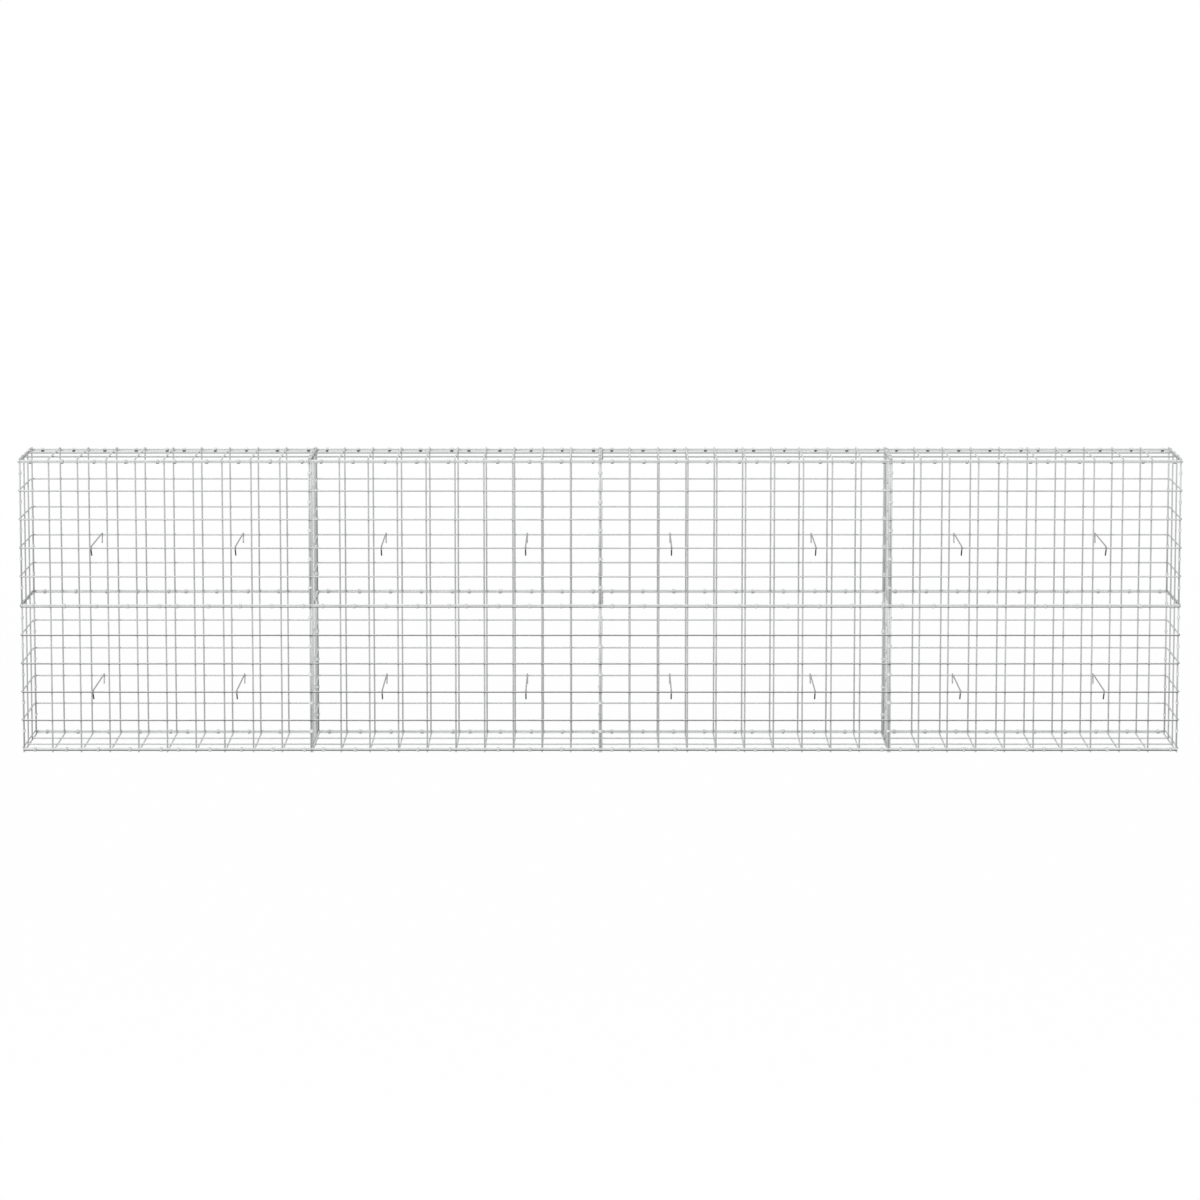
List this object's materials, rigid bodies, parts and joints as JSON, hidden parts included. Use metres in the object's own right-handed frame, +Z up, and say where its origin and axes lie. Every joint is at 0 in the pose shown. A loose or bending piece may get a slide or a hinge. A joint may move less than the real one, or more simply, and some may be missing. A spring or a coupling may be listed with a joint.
{
  "type": "gabion wall",
  "caption": "Empty welded-wire gabion wall with covers: bays of square mesh panels with dividers, closed by wire rings along the seams and tied front to back with hooked wires.",
  "frame": {"origin": "on the ground under the middle of the wall", "axes": "+Z up, +X along the wall, front towards -Y"},
  "size_m": [4.0394, 0.3382, 1.0369],
  "materials": {
    "mesh_wire": "hot-dip galvanised",
    "ring_wire": "galvanised",
    "tie_wire": "galvanised"
  },
  "bodies": {
    "root": {"front_lower_1": "mesh_wire", "front_lower_2": "mesh_wire", "front_lower_3": "mesh_wire", "front_lower_4": "mesh_wire", "front_upper_1": "mesh_wire", "front_upper_2": "mesh_wire", "front_upper_3": "mesh_wire", "front_upper_4": "mesh_wire", "back_lower_1": "mesh_wire", "back_lower_2": "mesh_wire", "back_lower_3": "mesh_wire", "back_lower_4": "mesh_wire", "back_upper_1": "mesh_wire", "back_upper_2": "mesh_wire", "back_upper_3": "mesh_wire", "back_upper_4": "mesh_wire", "lid_1": "mesh_wire", "lid_2": "mesh_wire", "lid_3": "mesh_wire", "lid_4": "mesh_wire", "base_1": "mesh_wire", "base_2": "mesh_wire", "base_3": "mesh_wire", "base_4": "mesh_wire", "left_end_lower": "mesh_wire", "left_end_upper": "mesh_wire", "right_end_lower": "mesh_wire", "right_end_upper": "mesh_wire", "divider_lower_1": "mesh_wire", "divider_lower_2": "mesh_wire", "divider_lower_3": "mesh_wire", "divider_upper_1": "mesh_wire", "divider_upper_2": "mesh_wire", "divider_upper_3": "mesh_wire", "front_seam_rings": "ring_wire", "back_seam_rings": "ring_wire", "corner_rings": "ring_wire", "divider_rings": "ring_wire", "cross_seam_rings": "ring_wire", "lower_ties": "tie_wire", "upper_ties": "tie_wire"}
  },
  "joints": []
}
